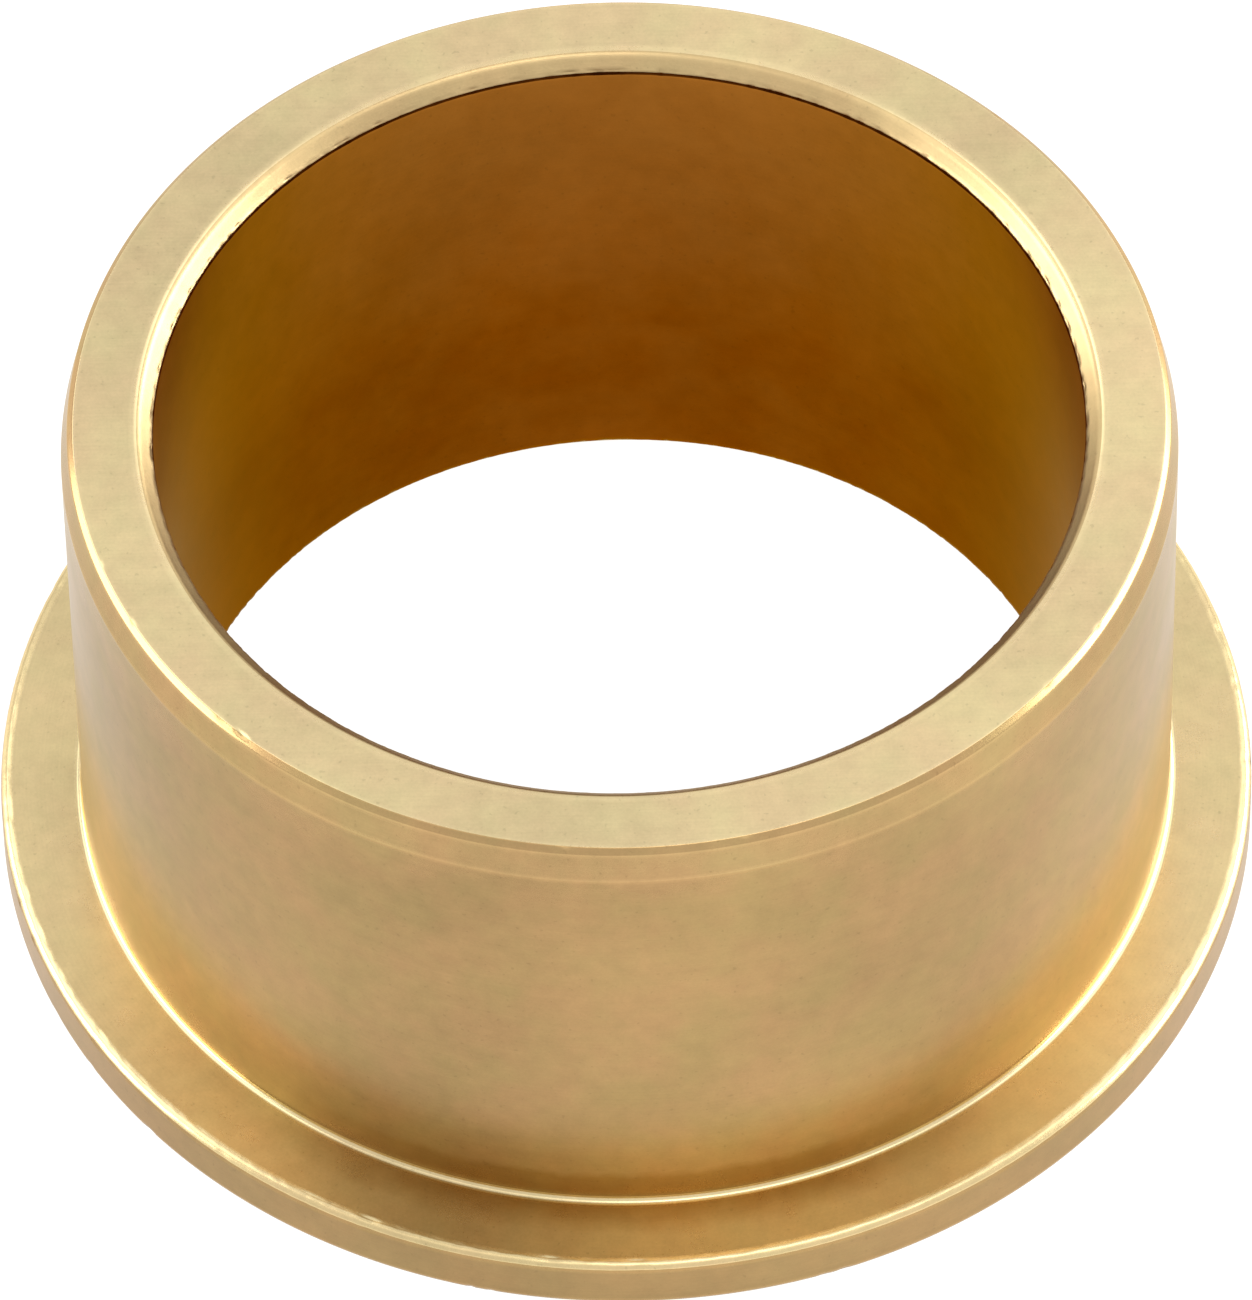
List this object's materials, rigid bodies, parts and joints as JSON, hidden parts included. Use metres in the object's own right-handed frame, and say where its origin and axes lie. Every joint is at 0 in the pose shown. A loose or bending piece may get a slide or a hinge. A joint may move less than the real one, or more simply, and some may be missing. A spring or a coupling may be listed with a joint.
{
  "type": "flanged sleeve bushing",
  "caption": "Plain bearing bush: a turned bronze sleeve with a thin flange at one end, chamfered bore mouths and a tapered lead-in at the plain end.",
  "frame": {"origin": "centre of the flange's outer face, which is the base", "axes": "+Z along the bore, from the flange towards the plain end"},
  "size_m": [0.069, 0.069, 0.0334],
  "materials": {
    "bronze": "satin, fine turned, with lapped end faces"
  },
  "bodies": {
    "root": {"flanged_bushing": "bronze"}
  },
  "joints": []
}
